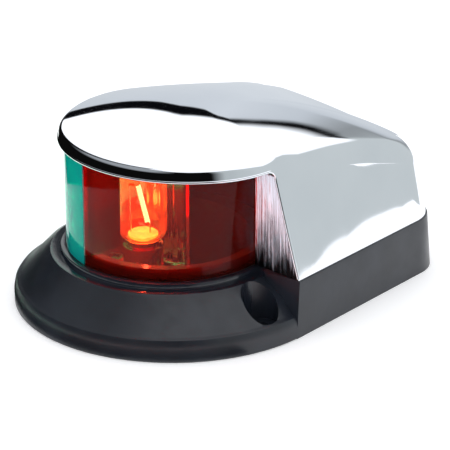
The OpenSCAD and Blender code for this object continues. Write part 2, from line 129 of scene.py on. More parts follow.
def bridge(bm, rings, close_start=True, close_end=True, wrap=True):
    """Joins rings of bmesh vertices into a skin. A ring of one vertex is a pole."""
    for a, b in zip(rings, rings[1:]):
        n = max(len(a), len(b))
        for i in range(n if wrap else n - 1):
            j = (i + 1) % n
            corners = [a[i % len(a)], a[j % len(a)], b[j % len(b)], b[i % len(b)]]
            face = list(dict.fromkeys(corners))
            if len(face) > 2:
                bm.faces.new(face)
    if close_start and len(rings[0]) > 2:
        bm.faces.new(rings[0])
    if close_end and len(rings[-1]) > 2:
        bm.faces.new(rings[-1])


def skin(name, rings, smooth_angle=35):
    """A closed body through rings of points, with flat ends where a ring isn't a pole."""
    bm = bmesh.new()
    bridge(bm, [[bm.verts.new(p) for p in ring] for ring in rings])
    return add_object(name, bm, smooth_angle)


def circle(radius, z, centre=(0, 0), count=128):
    """A ring of points, or one point where the radius is nothing."""
    if radius < 1e-6:
        return [(centre[0], centre[1], z)]
    turns = [2 * math.pi * i / count for i in range(count)]
    return [(centre[0] + radius * math.cos(t), centre[1] + radius * math.sin(t), z) for t in turns]


def lathe(name, profile, centre=(0, 0), count=128, smooth_angle=35):
    """A solid of revolution. The profile is (radius, height) points; off the axis it closes on itself."""
    rings = [circle(r, z, centre, count) for r, z in profile]
    bm = bmesh.new()
    made = [[bm.verts.new(p) for p in ring] for ring in rings]
    starts_on_axis = profile[0][0] < 1e-6
    if not starts_on_axis:
        made.append(made[0])
    bridge(bm, made, close_start=False, close_end=False)
    return add_object(name, bm, smooth_angle)


def rounded(points, radius, steps=4, closed=True):
    """A polygon with its corners rounded. A point may carry its own radius as a third value."""
    result = []
    count = len(points)
    for i, point in enumerate(points):
        here = Vector(point[:2])
        r = point[2] if len(point) > 2 else radius
        if r <= 0 or (not closed and i in (0, count - 1)):
            result.append(tuple(here))
            continue
        before = Vector(points[i - 1][:2]) - here
        after = Vector(points[(i + 1) % count][:2]) - here
        angle = before.angle(after, math.pi)
        if angle > math.radians(176):
            result.append(tuple(here))
            continue
        reach = min(r / math.tan(angle / 2), 0.48 * before.length, 0.48 * after.length)
        start = here + before.normalized() * reach
        end = here + after.normalized() * reach
        for k in range(steps + 1):
            t = k / steps
            result.append(tuple(start * (1 - t) ** 2 + here * 2 * t * (1 - t) + end * t * t))
    return result


def boolean(target, tool, operation):
    """Cuts, joins or intersects the target with the tool, which is used up."""
    modifier = target.modifiers.new("cut", "BOOLEAN")
    modifier.operation = operation
    modifier.object = tool
    modifier.solver = "MANIFOLD"
    graph = bpy.context.evaluated_depsgraph_get()
    mesh = bpy.data.meshes.new_from_object(target.evaluated_get(graph))
    target.modifiers.clear()
    old = target.data
    mesh.name = old.name + "_cut"
    target.data = mesh
    bpy.data.meshes.remove(old)
    bpy.data.objects.remove(tool)
    return target


def post(radius, low, high, centre=(0, 0), count=64):
    """An upright cylinder, used as a boss or a cutter."""
    return skin("tool", [circle(radius, low, centre, count), circle(radius, high, centre, count)])


def block_between(low, high):
    """A box between two corners, used as a cutter."""
    (x0, y0, z0), (x1, y1, z1) = low, high
    ring = [(x0, y0), (x1, y0), (x1, y1), (x0, y1)]
    return skin("tool", [[(x, y, z) for x, y in ring] for z in (z0, z1)])


def sector(name, profile, start, end, centre, steps=120, smooth_angle=35):
    """A closed (radius, height) profile turned about an upright axis from one angle to another."""
    rings = []
    for i in range(steps + 1):
        a = start + (end - start) * i / steps
        rings.append([(centre[0] + r * math.cos(a), centre[1] + r * math.sin(a), z) for r, z in profile])
    return skin(name, rings, smooth_angle)


def tube(name, path, radius, sides=12, radii=None):
    """A round wire along a path of points, with closed ends."""
    points = [Vector(p) for p in path]
    rings = []
    normal = None
    for i, point in enumerate(points):
        along = (points[min(i + 1, len(points) - 1)] - points[max(i - 1, 0)]).normalized()
        if normal is None:
            normal = along.orthogonal().normalized()
        normal = (normal - along * normal.dot(along)).normalized()
        side = along.cross(normal)
        r = radii[i] if radii else radius
        turns = [2 * math.pi * k / sides for k in range(sides)]
        rings.append([tuple(point + normal * r * math.cos(t) + side * r * math.sin(t)) for t in turns])
    return skin(name, rings, 50)


def join(target, *others):
    """Moves the geometry of the others into the target, without merging it."""
    bm = bmesh.new()
    bm.from_mesh(target.data)
    for other in others:
        bm.from_mesh(other.data)
        mesh = other.data
        bpy.data.objects.remove(other)
        bpy.data.meshes.remove(mesh)
    bm.to_mesh(target.data)
    bm.free()
    return target


# ---------------------------------------------------------------- materials
def material(name, color, roughness, metallic=0.0, **sockets):
    """A Principled material. Keyword names are its sockets, with _ for a space."""
    mat = bpy.data.materials.new(name)
    mat.use_nodes = True
    shader = mat.node_tree.nodes["Principled BSDF"]
    shader.inputs["Base Color"].default_value = (*color, 1)
    shader.inputs["Roughness"].default_value = roughness
    shader.inputs["Metallic"].default_value = metallic
    for key, value in sockets.items():
        shader.inputs[key.replace("_", " ")].default_value = value
    return mat


def node(mat, kind, **inputs):
    """A shader node of the material with its input values set by name."""
    made = mat.node_tree.nodes.new(kind)
    for key, value in inputs.items():
        made.inputs[key.replace("_", " ")].default_value = value
    return made


def link(mat, out, into):
    mat.node_tree.links.new(out, into)


def place(mat, stretch=(1, 1, 1)):
    """Object coordinates, stretched along an axis where a texture has a direction."""
    coord = node(mat, "ShaderNodeTexCoord")
    mapping = node(mat, "ShaderNodeMapping", Scale=stretch)
    link(mat, coord.outputs["Object"], mapping.inputs["Vector"])
    return mapping.outputs["Vector"]


def noise(mat, scale, detail=3.0, stretch=(1, 1, 1), roughness=0.5):
    made = node(mat, "ShaderNodeTexNoise", Scale=scale, Detail=detail, Roughness=roughness)
    link(mat, place(mat, stretch), made.inputs["Vector"])
    return made.outputs["Fac"]


def ramp(mat, factor, stops):
    """A colour ramp over (position, colour) stops."""
    made = node(mat, "ShaderNodeValToRGB")
    elements = made.color_ramp.elements
    while len(elements) < len(stops):
        elements.new(0.5)
    for element, (position, color) in zip(elements, stops):
        element.position = position
        element.color = (*color, 1) if len(color) == 3 else color
    link(mat, factor, made.inputs["Fac"])
    return made.outputs["Color"]


def grey(value):
    return (value, value, value)


def maths(mat, operation, *values, clamp=False):
    """One step of arithmetic on numbers and outputs of other nodes."""
    made = node(mat, "ShaderNodeMath")
    made.operation = operation
    made.use_clamp = clamp
    for socket, value in zip(made.inputs, values):
        if isinstance(value, (int, float)):
            socket.default_value = value
        else:
            link(mat, value, socket)
    return made.outputs[0]


def vector_maths(mat, operation, vector):
    made = node(mat, "ShaderNodeVectorMath")
    made.operation = operation
    link(mat, vector, made.inputs[0])
    return made.outputs


def split_xyz(mat, vector):
    made = node(mat, "ShaderNodeSeparateXYZ")
    link(mat, vector, made.inputs[0])
    return made.outputs


def map_range(mat, value, low, high):
    """0 at the low value and 1 at the high one, straight between them."""
    made = node(mat, "ShaderNodeMapRange", From_Min=low, From_Max=high)
    link(mat, value, made.inputs["Value"])
    return made.outputs[0]


def mix(mat, factor, first, second):
    """A blend of two colours, each given as a colour or as the output of a node."""
    made = node(mat, "ShaderNodeMixRGB")
    for key, value in (("Fac", factor), ("Color1", first), ("Color2", second)):
        if isinstance(value, tuple):
            made.inputs[key].default_value = (*value, 1)
        else:
            link(mat, value, made.inputs[key])
    return made.outputs["Color"]


def shader_of(mat):
    return mat.node_tree.nodes["Principled BSDF"]


def fade(mat, socket, factor, color):
    """Brings an input of the shader to one colour, or value, where the factor is nothing."""
    into = shader_of(mat).inputs[socket]
    link(mat, mix(mat, factor, color, into.links[0].from_socket), into)


def add_bump(mat, height, distance, strength=1.0):
    """Relief of the given depth in millimetres, on top of any relief that is already there."""
    shader = shader_of(mat)
    bump = node(mat, "ShaderNodeBump", Distance=distance * MM, Strength=strength)
    link(mat, height, bump.inputs["Height"])
    into = shader.inputs["Normal"]
    if into.is_linked:
        link(mat, into.links[0].from_socket, bump.inputs["Normal"])
    link(mat, bump.outputs["Normal"], into)
    return mat


def vary(mat, socket, low, high, scale, detail=3.0, stretch=(1, 1, 1), contrast=0.25):
    """Lets a colour or a value of the shader wander between two limits."""
    fac = noise(mat, scale, detail, stretch)
    low = low if isinstance(low, tuple) else grey(low)
    high = high if isinstance(high, tuple) else grey(high)
    made = ramp(mat, fac, [(0.5 - contrast, low), (0.5 + contrast, high)])
    link(mat, made, shader_of(mat).inputs[socket])
    return mat


def let_light_through(mat, tint):
    """Shadow rays pass clear material as tinted light, so that what is behind it is lit."""
    tree = mat.node_tree
    out = tree.nodes["Material Output"]
    path = node(mat, "ShaderNodeLightPath")
    clear = node(mat, "ShaderNodeBsdfTransparent", Color=(*tint, 1))
    mix = node(mat, "ShaderNodeMixShader")
    link(mat, path.outputs["Is Shadow Ray"], mix.inputs[0])
    link(mat, shader_of(mat).outputs[0], mix.inputs[1])
    link(mat, clear.outputs[0], mix.inputs[2])
    link(mat, mix.outputs[0], out.inputs["Surface"])
    return mat


def moulded_black():
    """Fine-grained plastic, smoother on the ring round the lens."""
    mat = material("black_plastic", (0.010, 0.011, 0.014), 0.34, Specular_IOR_Level=0.6)
    vary(mat, "Base Color", (0.006, 0.008, 0.013), (0.013, 0.017, 0.026), 90)
    vary(mat, "Roughness", 0.28, 0.42, 260)
    add_bump(mat, noise(mat, 420, 2), 0.05, 0.35)
    add_bump(mat, noise(mat, 2600, 4), 0.02, 0.55)
    flat = node(mat, "ShaderNodeMapping", Location=(0, -LENS_Y * MM, 0), Scale=(1, 1, 0))
    link(mat, node(mat, "ShaderNodeTexCoord").outputs["Object"], flat.inputs["Vector"])
    from_axis = vector_maths(mat, "LENGTH", flat.outputs["Vector"])["Value"]
    fade(mat, "Roughness", map_range(mat, from_axis, (RING_R - 0.4) * MM, (RING_R + 0.5) * MM), grey(0.13))
    return mat


def chrome_plate():
    mat = material("chrome_plate", (0.84, 0.86, 0.90), 0.04, 1.0)
    vary(mat, "Base Color", (0.80, 0.825, 0.87), (0.88, 0.90, 0.94), 40)
    vary(mat, "Roughness", 0.02, 0.055, 55)
    add_bump(mat, noise(mat, 45, 2), 0.05, 0.35)
    return mat


def acrylic(name, color, tint, clarity):
    """Lens plastic. Its index is lower than real acrylic's, to keep the floor's reflection off the lens."""
    mat = material(name, color, 0.03, IOR=1.2, Transmission_Weight=clarity)
    vary(mat, "Roughness", 0.01, 0.05, 120)
    add_bump(mat, noise(mat, 70, 2), 0.04, 0.35)
    return let_light_through(mat, tint)


def clear_glass():
    """Bulb glass with a painted glow: a weak emission in noisy warm colours stands in for the filament's
    light in the envelope.
    """
    mat = material("clear_glass", (0.97, 0.985, 1.0), 0.0, IOR=1.47, Transmission_Weight=1.0)
    # Painted glow: the glass itself emits, though only the filament gives light.
    shader_of(mat).inputs["Emission Strength"].default_value = 0.4
    painted_glow = ramp(mat, noise(mat, 220, 5), [(0.38, (0.32, 0.22, 0.05)), (0.65, (1.0, 0.90, 0.22))])
    link(mat, painted_glow, shader_of(mat).inputs["Emission Color"])
    add_bump(mat, noise(mat, 110, 1), 0.03, 0.25)
    return let_light_through(mat, (0.95, 0.96, 0.97))


def metal(name, low, high, rough_low, rough_high, scale=300, depth=0.01, stretch=(1, 1, 1)):
    mat = material(name, high, rough_high, 1.0)
    vary(mat, "Base Color", low, high, scale, stretch=stretch)
    vary(mat, "Roughness", rough_low, rough_high, scale * 1.7, stretch=stretch)
    add_bump(mat, noise(mat, scale * 3, 3, stretch), depth, 0.5)
    return mat


def dull(name, low, high, roughness, scale=300, depth=0.03):
    mat = material(name, high, roughness)
    vary(mat, "Base Color", low, high, scale)
    vary(mat, "Roughness", roughness - 0.08, roughness + 0.08, scale)
    add_bump(mat, noise(mat, scale * 4, 4), depth, 0.6)
    return mat


def stem_glass():
    """The pressed glass foot inside the bulb, milky with its seal. Its light from the filament is painted:
    it emits in noisy yellow tones.
    """
    mat = material("stem_glass", (0.95, 0.90, 0.78), 0.3, IOR=1.47, Transmission_Weight=0.25)
    vary(mat, "Base Color", (0.86, 0.80, 0.66), (1.0, 0.97, 0.90), 500)
    # Painted light: the stem emits in place of being lit by the filament.
    shader_of(mat).inputs["Emission Strength"].default_value = 12
    painted_light_noise = noise(mat, 420, 4, (1, 2.2, 1))
    filament_and_painted_glow = ramp(mat, painted_light_noise, [(0.35, (0.5, 0.30, 0.03)), (0.62, (1.0, 0.95, 0.12))])
    link(mat, filament_and_painted_glow, shader_of(mat).inputs["Emission Color"])
    add_bump(mat, noise(mat, 700, 3), 0.08, 0.6)
    return mat


def fluted_mirror():
    """The reflector: rolled aluminium whose shallow upright flutes draw the filament into streaks."""
    mat = metal("polished_aluminium", (0.80, 0.80, 0.81), (0.92, 0.92, 0.93), 0.06, 0.16, 200, 0.01,
                (1, 1, 0.1))
    return add_bump(mat, noise(mat, 330, 2, (1, 1, 0.02)), 0.7, 1.0)


MATERIALS = {
    "stem_glass": stem_glass(),
    "black_plastic": moulded_black(),
    "chrome_plate": chrome_plate(),
    "red_acrylic": acrylic("red_acrylic", (0.80, 0.042, 0.024), (0.60, 0.16, 0.07), 0.97),
    "green_acrylic": acrylic("green_acrylic", (0.004, 0.225, 0.215), (0.08, 0.60, 0.55), 0.2),
    "clear_glass": clear_glass(),
    "black_glass": dull("black_glass", (0.004, 0.004, 0.006), (0.012, 0.012, 0.016), 0.15, 200, 0.01),
    "polished_aluminium": fluted_mirror(),
    "zinc_plated_steel": metal("zinc_plated_steel", (0.50, 0.50, 0.50), (0.70, 0.70, 0.66), 0.22, 0.4),
    "stainless_steel": metal("stainless_steel", (0.52, 0.52, 0.53), (0.66, 0.66, 0.67), 0.18, 0.34),
    "spring_steel": metal("spring_steel", (0.42, 0.42, 0.43), (0.58, 0.58, 0.58), 0.2, 0.32),
    "nickel_wire": metal("nickel_wire", (0.55, 0.53, 0.50), (0.70, 0.68, 0.64), 0.2, 0.35),
    "nickel_plated_brass": metal("nickel_plated_brass", (0.62, 0.59, 0.52), (0.76, 0.73, 0.66), 0.14, 0.3),
    "brass": metal("brass", (0.62, 0.43, 0.17), (0.80, 0.60, 0.27), 0.18, 0.36),
    "solder": metal("solder", (0.45, 0.45, 0.46), (0.62, 0.62, 0.63), 0.35, 0.55),
    "phenolic": dull("phenolic", (0.055, 0.022, 0.010), (0.11, 0.048, 0.022), 0.42),
    "rubber": dull("rubber", (0.010, 0.010, 0.010), (0.022, 0.022, 0.022), 0.72),
    "foam_rubber": dull("foam_rubber", (0.012, 0.012, 0.012), (0.03, 0.03, 0.03), 0.85, 700, 0.08),
}


def finish_with(obj, finish):
    """Gives an object one of the materials above and no other."""
    obj.data.materials.clear()
    obj.data.materials.append(MATERIALS[finish])


def piece(obj, body, slot_name, *stands_for):
    """A finished piece: its material, the body it moves with and the CAD nodes it stands for."""
    finish_with(obj, slot_name)
    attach(obj, body)
    if stands_for:
        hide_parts(*stands_for)
    return obj


# ---------------------------------------------------------------- outlines of the base and the hood
HOOD_INSET = 0.25
FOOT_NOSE = 0.75
FOOT_BOW = 0.6
VISOR_Y = 4.8
VISOR_R = 34.1
SHOULDER_CORNER = (17.3, 55.1)
SHOULDER_CORNER_R = 10.9
SHOULDER_BOW = 2.1
POLE_Y = 6.6
FRONT_EDGE_Z = 47.2
REAR_EDGE_Z = 33.8
EDGE_END_Y = 66
EDGE_FALL = 1.64
EDGE_ROUND = 1
EDGE_ROUND_GAIN = 4.8
EDGE_ROUND_FROM_Y = -5
EDGE_ROUND_OVER_Y = 20
WALL_RINGS = 14
DOME_RINGS = 44


def clamped(value):
    return max(0.0, min(1.0, value))


def corner_centre(r, rear_y):
    """Centre of a rear corner that touches the straight side and the rear face."""
    across = (r - CORNER_R - math.sin(SIDE_TAPER) * (rear_y - CORNER_R)) / math.cos(SIDE_TAPER)
    return across, rear_y - CORNER_R


def half_outline(yc, r, nose, centre, corner_r, bow, arc_n, corner_n, side_n=1):
    """Bow to stern on the port side: bow arc, straight side, corner arc and slightly bowed rear."""
    cx, cy = centre
    side = math.atan2(cy - yc, cx) - math.acos((r - corner_r) / math.hypot(cx, cy - yc))
    half_w = cx + corner_r

    def bowed(x, y):
        w = clamped((y - cy) / corner_r)
        return x, y + bow * w * (1 - (x / half_w) ** 2)

    points = []
    for i in range(arc_n + 1):
        t = -math.pi / 2 + (side + math.pi / 2) * i / arc_n
        points.append((r * math.cos(t), yc + r * math.sin(t) * (nose if t < 0 else 1)))
    start = Vector(points[-1])
    end = Vector((cx + corner_r * math.cos(side), cy + corner_r * math.sin(side)))
    points += [tuple(start.lerp(end, i / side_n)) for i in range(1, side_n)]
    for i in range(corner_n + 1):
        t = side + (math.pi / 2 - side) * i / corner_n
        points.append(bowed(cx + corner_r * math.cos(t), cy + corner_r * math.sin(t)))
    rear_x = points[-1][0]
    points += [bowed(rear_x * (1 - i / side_n), cy + corner_r) for i in range(1, side_n + 1)]
    return points


def closed(half):
    """Both halves as one loop; the points on the centreline are used once."""
    return half + [(-x, y) for x, y in half[-2:0:-1]]


def base_outline(inset=0.0, rear_y=REAR_Y):
    centre = corner_centre(BASE_R, rear_y)
    return closed(half_outline(0, BASE_R - inset, 1, centre, CORNER_R - inset, 0, 90, 24, 8))


ARC_N, CORNER_N, SIDE_N = 72, 24, 16


def hood_outlines(inset):
    foot = half_outline(0, BASE_R - HOOD_INSET - inset, FOOT_NOSE,
                        corner_centre(BASE_R - HOOD_INSET, REAR_Y - REAR_DRAFT - FOOT_BOW),
                        CORNER_R - inset, FOOT_BOW, ARC_N, CORNER_N, SIDE_N)
    shoulder = half_outline(VISOR_Y, VISOR_R - inset, 1, SHOULDER_CORNER, SHOULDER_CORNER_R - inset,
                            SHOULDER_BOW, ARC_N, CORNER_N, SIDE_N)
    return foot, shoulder


def column(foot, edge, drop, floor_z):
    """One radial strip of the hood from its pole to its foot. The rounded edge is tangent to the wall."""
    radial = Vector(edge) - Vector((0, POLE_Y))
    reach = radial.length
    radial.normalize()
    fall = clamped(edge[1] / EDGE_END_Y) ** EDGE_FALL
    edge_z = FRONT_EDGE_Z - drop - (FRONT_EDGE_Z - REAR_EDGE_Z) * fall
    rounding = EDGE_ROUND + EDGE_ROUND_GAIN * clamped((edge[1] - EDGE_ROUND_FROM_Y) / EDGE_ROUND_OVER_Y)
    rise = CROWN_Z - drop - edge_z
    lean = max(0.02, (Vector(foot) - Vector(edge)).dot(radial) / (edge_z - rounding - HOOD_Z))
    steep = 1 / lean - 2 * rise / reach
    s_end = rounding * steep / math.hypot(1, steep)
    end = reach - rounding + s_end

    def dome(f):
        rho = f * end
        s = max(0.0, rho - (reach - rounding))
        drawn_down = rounding - math.sqrt(max(0.0, rounding ** 2 - s * s))
        z = edge_z + rise * (1 - (rho / reach) ** 2) - drawn_down
        return Vector((radial.x * rho, POLE_Y + radial.y * rho, z))

    top = dome(1)
    bottom = Vector((foot[0], foot[1], floor_z))
    return dome, top, bottom


def hood_form(inset, floor_z, name="hood_form"):
    """Closed body of the hood's outer form, or of its inner form when drawn in."""
    foot, shoulder = hood_outlines(inset)
    strips = [column(a, b, inset, floor_z) for a, b in zip(closed(foot), closed(shoulder))]
    rings = []
    for i in range(WALL_RINGS):
        rings.append([tuple(bottom.lerp(top, i / WALL_RINGS)) for _, top, bottom in strips])
    for i in range(DOME_RINGS):
        f = 1 - (i / DOME_RINGS) ** 2
        rings.append([tuple(dome(f)) for dome, _, _ in strips])
    rings.append([(0, POLE_Y, CROWN_Z - inset)])
    return skin(name, rings, 50)


# ---------------------------------------------------------------- hood
RETURN_IN = (26, 6.2)
RETURN_LOW = (41.7, 8.4)
RETURN_HIGH = (34.95, 6.7)
WINDOW_FILLET = 1.9
BEAD_R = 0.43
BEAD_PROUD = 0.14
OUTSIDE = (90, -60)


def mirrored(points):
    return points + [(-x, y) for x, y in points[::-1]]


def window_row(z, shift):
    """Outline at one height of the space in front of the return faces."""
    k = (z - HOOD_Z) / (VISOR_Z - HOOD_Z)
    corner = Vector(RETURN_LOW).lerp(Vector(RETURN_HIGH), k)
    beyond = corner * 2 - Vector(RETURN_IN)
    points = [OUTSIDE, tuple(beyond), tuple(corner), RETURN_IN]
    return [(x, y if y == OUTSIDE[1] else y + shift, z) for x, y in mirrored(points)]


def fillet_rows(steps=8):
    """(height, forward shift) pairs where the return face turns into the underside of the visor."""
    rows = []
    for i in range(steps + 1):
        a = math.pi / 2 * i / steps
        rows.append((VISOR_Z - WINDOW_FILLET * (1 - math.sin(a)), -WINDOW_FILLET * (1 - math.cos(a))))
    return rows


def window_space(shift, fillet=True):
    rows = [(HOOD_Z - 0.5, 0)] + (fillet_rows() if fillet else [(VISOR_Z, 0)])
    return skin("window", [window_row(z, shift + forward) for z, forward in rows])


def wall_point(t, z):
    """Point of the hood's outer wall at the bow-arc angle t and height z, on the port side."""
    low_r = BASE_R - HOOD_INSET
    nose = FOOT_NOSE if t < 0 else 1
    foot = (low_r * math.cos(t), low_r * math.sin(t) * nose)
    edge = (VISOR_R * math.cos(t), VISOR_Y + VISOR_R * math.sin(t))
    _, top, bottom = column(foot, edge, 0, HOOD_Z)
    return bottom.lerp(top, (z - HOOD_Z) / (top.z - HOOD_Z))


def return_edge_angle(z, forward):
    """Bow-arc angle at which the outer wall meets the return face."""
    k = (z - HOOD_Z) / (VISOR_Z - HOOD_Z)
    corner = Vector(RETURN_LOW).lerp(Vector(RETURN_HIGH), k)
    slope = (corner.y - RETURN_IN[1]) / (corner.x - RETURN_IN[0])
    low, high = math.radians(-40), math.radians(40)
    for _ in range(40):
        mid = (low + high) / 2
        p = wall_point(mid, z)
        if p.y > RETURN_IN[1] + slope * (p.x - RETURN_IN[0]) + forward:
            high = mid
        else:
            low = mid
    return (low + high) / 2


def window_bead():
    """The rounded lip round the lens window: along the visor and down the front edge of each wall."""
    fillet = fillet_rows(10)
    start_z = HOOD_Z + BEAD_R
    straight = [(start_z + (fillet[0][0] - start_z) * i / 24, 0) for i in range(24)]
    stops = [(return_edge_angle(z, forward), z) for z, forward in straight + fillet]
    last = stops[-1][0]
    bow = -math.pi / 2
    stops += [(last + (bow - last) * i / 80, VISOR_Z) for i in range(1, 81)]
    rings = []
    points = [wall_point(t, z) for t, z in stops]
    for i, (t, z) in enumerate(stops):
        along = (points[min(i + 1, len(points) - 1)] - points[max(i - 1, 0)]).normalized()
        if i == len(stops) - 1:
            along = Vector((-1, 0, 0))
        small = 1e-3
        across = wall_point(t + small, z) - wall_point(t - small, z)
        up = wall_point(t, z + small) - wall_point(t, z - small)
        out = across.cross(up).normalized()
        into = along.cross(out).normalized()
        if into.z < -0.05 or (abs(into.z) <= 0.05 and into.y < 0):
            into = -into
        centre = points[i] + (into - out) * (BEAD_R - BEAD_PROUD)
        turns = [2 * math.pi * k / 14 for k in range(14)]
        rings.append([centre + out * BEAD_R * math.cos(a) + into * BEAD_R * math.sin(a) for a in turns])
    port = [[tuple(p) for p in ring] for ring in rings]
    starboard = [[(-x, y, z) for x, y, z in ring] for ring in port[-2::-1]]
    return skin("hood_bead", port + starboard, 60)


BOSS_PLACES = [(33, 15), (-33, 15), (0, 59)]
BOSS_R = 3.6
BOSS_TOP_Z = 37
SCREW_HOLE_R = 2.1
SCREW_END_Z = 27.2
INNER_INSET = 0.6
VISOR_REAR_Y = 13
VISOR_OPENING_R = LENS_IN_R - 1.6
BAND_H = 3.3
GROOVE_TOP_Z = VISOR_Z + 2.6


def make_hood():
    shell = hood_form(0, HOOD_Z, "hood_shell")
    boolean(shell, hood_form(HOOD_T, HOOD_Z - 1), "DIFFERENCE")
    boolean(shell, window_space(0), "DIFFERENCE")

    returns = boolean(hood_form(INNER_INSET, HOOD_Z, "returns"), window_space(HOOD_T, fillet=False),
                      "INTERSECT")
    boolean(returns, window_space(0), "DIFFERENCE")
    boolean(returns, post(LENS_R + LENS_SLIP, 0, ABOVE_Z, (0, LENS_Y), 160), "DIFFERENCE")

    plate = hood_form(INNER_INSET, HOOD_Z, "visor_plate")
    band = block_between((-60, -60, VISOR_Z), (60, VISOR_REAR_Y, VISOR_Z + BAND_H))
    boolean(plate, band, "INTERSECT")
    boolean(plate, post(VISOR_OPENING_R, 40, ABOVE_Z, (0, LENS_Y), 160), "DIFFERENCE")
    boolean(shell, plate, "UNION")
    boolean(shell, returns, "UNION")
    for place_at in BOSS_PLACES:
        boss = boolean(post(BOSS_R, HOOD_Z, BOSS_TOP_Z, place_at), hood_form(INNER_INSET, HOOD_Z),
                       "INTERSECT")
        boolean(shell, boss, "UNION")
        boolean(shell, post(SCREW_HOLE_R, HOOD_Z - 1, SCREW_END_Z, place_at, 32), "DIFFERENCE")
    inner_r, outer_r = LENS_IN_R - LENS_SLIP, LENS_IN_R + TONGUE_T + LENS_SLIP
    groove = lathe("tool", [(inner_r, VISOR_Z - 1), (outer_r, VISOR_Z - 1), (outer_r, GROOVE_TOP_Z),
                            (inner_r, GROOVE_TOP_Z)], (0, LENS_Y), 160)
    boolean(shell, groove, "DIFFERENCE")
    shade(shell, 40)
    join(shell, window_bead())
    shell.name = "hood_shell"
    return shell


# Painted dark reflection at the foot of the return faces: how far noise shifts its jagged top, and the
# heights over which it fades from dark to full colour, in millimetres.
RETURN_PAINTED_REFLECTION_RAGGED = 16
RETURN_PAINTED_REFLECTION_Z = (9.5, 13.5)
RETURN_TILT = 0.43


def streaked_chrome_with_painted_reflection():
    """Chrome over an unpolished face: fine streaks scatter reflections, and a painted dark reflection
    darkens the colour of its foot below a jagged line.

    The last relief grows with the distance from the centreline, so it only tilts the shading. The face
    is shaded as if it turned outboard by that slope, and it mirrors the floor and not the lens.
    """
    mat = material("chrome_unpolished_painted_reflection", (0.90, 0.88, 0.93), 0.16, 1.0)
    vary(mat, "Base Color", (0.34, 0.40, 0.47), (0.66, 0.78, 0.88), 1500, 4, (1, 1, 0.03))
    position = split_xyz(mat, place(mat))
    # Painted dark reflection: the colour turns dark where the height, less a noise, falls below the fade.
    painted_reflection_edge = maths(mat, "MULTIPLY_ADD", noise(mat, 1100, 5, (1, 1, 0.12)), -RETURN_PAINTED_REFLECTION_RAGGED * MM,
                   position["Z"])
    dark_z, bright_z = RETURN_PAINTED_REFLECTION_Z
    fade(mat, "Base Color", map_range(mat, painted_reflection_edge, dark_z * MM, bright_z * MM), (0.035, 0.033, 0.038))
    vary(mat, "Roughness", 0.10, 0.30, 900, 3, (1, 1, 0.05))
    add_bump(mat, noise(mat, 1300, 3, (1, 1, 0.05)), 0.22, 1.0)
    add_bump(mat, noise(mat, 240, 2, (1, 1, 0.4)), 0.15, 1.0)
    return add_bump(mat, maths(mat, "ABSOLUTE", position["X"]), -RETURN_TILT / MM, 1.0)


def inside_of_hood():
    """Thin, dull plating on the hidden side of the casting."""
    mat = material("chrome_inside", (0.20, 0.20, 0.21), 0.45, 0.8)
    vary(mat, "Base Color", (0.10, 0.10, 0.11), (0.24, 0.24, 0.25), 300)
    vary(mat, "Roughness", 0.35, 0.6, 500)
    add_bump(mat, noise(mat, 900, 4), 0.08, 0.7)
    return mat


RETURN_FROM_Y, RETURN_TO_Y = 5, 9.5
HEART_Y, HEART_Z = 15, 30


def mark_hood_faces(hood):
    """Sorts the hood's faces into the polished outside, the unpolished return faces with a painted dark
    reflection at their foot, and the inside.
    """
    hood.data.materials.append(streaked_chrome_with_painted_reflection())
    hood.data.materials.append(inside_of_hood())
    for polygon in hood.data.polygons:
        middle = polygon.center / MM
        normal = polygon.normal
        beside_lens = abs(middle.x) > LENS_IN_R and RETURN_FROM_Y < middle.y < RETURN_TO_Y
        if normal.y < -0.9 and beside_lens and middle.z < VISOR_Z:
            polygon.material_index = 1
            continue
        outward = Vector((middle.x, middle.y - HEART_Y, max(0.0, middle.z - HEART_Z))).normalized()
        ceiling = normal.z < -0.5 and middle.z > VISOR_Z + 0.5
        if normal.dot(outward) < -0.1 or ceiling:
            polygon.material_index = 2


hood_piece = piece(make_hood(), "hood", "chrome_plate", "hood")
mark_hood_faces(hood_piece)


# ---------------------------------------------------------------- base
BLOCK_FRONT = (32.5, 5.9)
BLOCK_FOOT = (30, 5.1)
RIM_SLOPE = 1.1
CONE_SLOPE = 0.70
HOLLOW_FRONT_Z = 4.8
RING_UNDER_Z = RING_Z - 4.3
HOLLOW_REAR_Y = 14
COUNTERBORE_WALL = 2.3
SCREW_POST_R = 5.1
SCREW_HEAD_R = 3.7
SCREW_HEAD_Z = 11
BRACKET_POST_X = 12.5
BRACKET_POST_R = 3.2
BRACKET_POST_Z = 7
SEAL_GROOVE_DEPTH = 0.8
WIRE_HOLE_R = 3.2
WIRE_HOLE_Y = 12


def block_rows():
    """Outlines of the block behind the flange, from the deck to the face that carries the hood."""
    count = 180
    low = [BLOCK_FOOT] + [p for p in base_outline() if p[1] > 7.4 and p[0] >= 0]
    high = [BLOCK_FRONT] + [p for p in base_outline(0, REAR_Y - REAR_DRAFT) if p[1] > 8 and p[0] >= 0]

    def half(points):
        """The port half, walked at even steps after its front corner, which stays where it is."""
        run = [Vector(p) for p in points]
        lengths = [0.0]
        for a, b in zip(run[1:], run[2:]):
            lengths.append(lengths[-1] + (b - a).length)
        result = [tuple(run[0]), tuple(run[1])]
        at = 0
        for i in range(1, count):
            wanted = lengths[-1] * i / (count - 1)
            while at < len(lengths) - 2 and lengths[at + 1] < wanted:
                at += 1
            share = (wanted - lengths[at]) / (lengths[at + 1] - lengths[at])
            result.append(tuple(run[1 + at].lerp(run[2 + at], min(1.0, share))))
        result[-1] = (0, result[-1][1])
        return result

    return half(low), half(high)


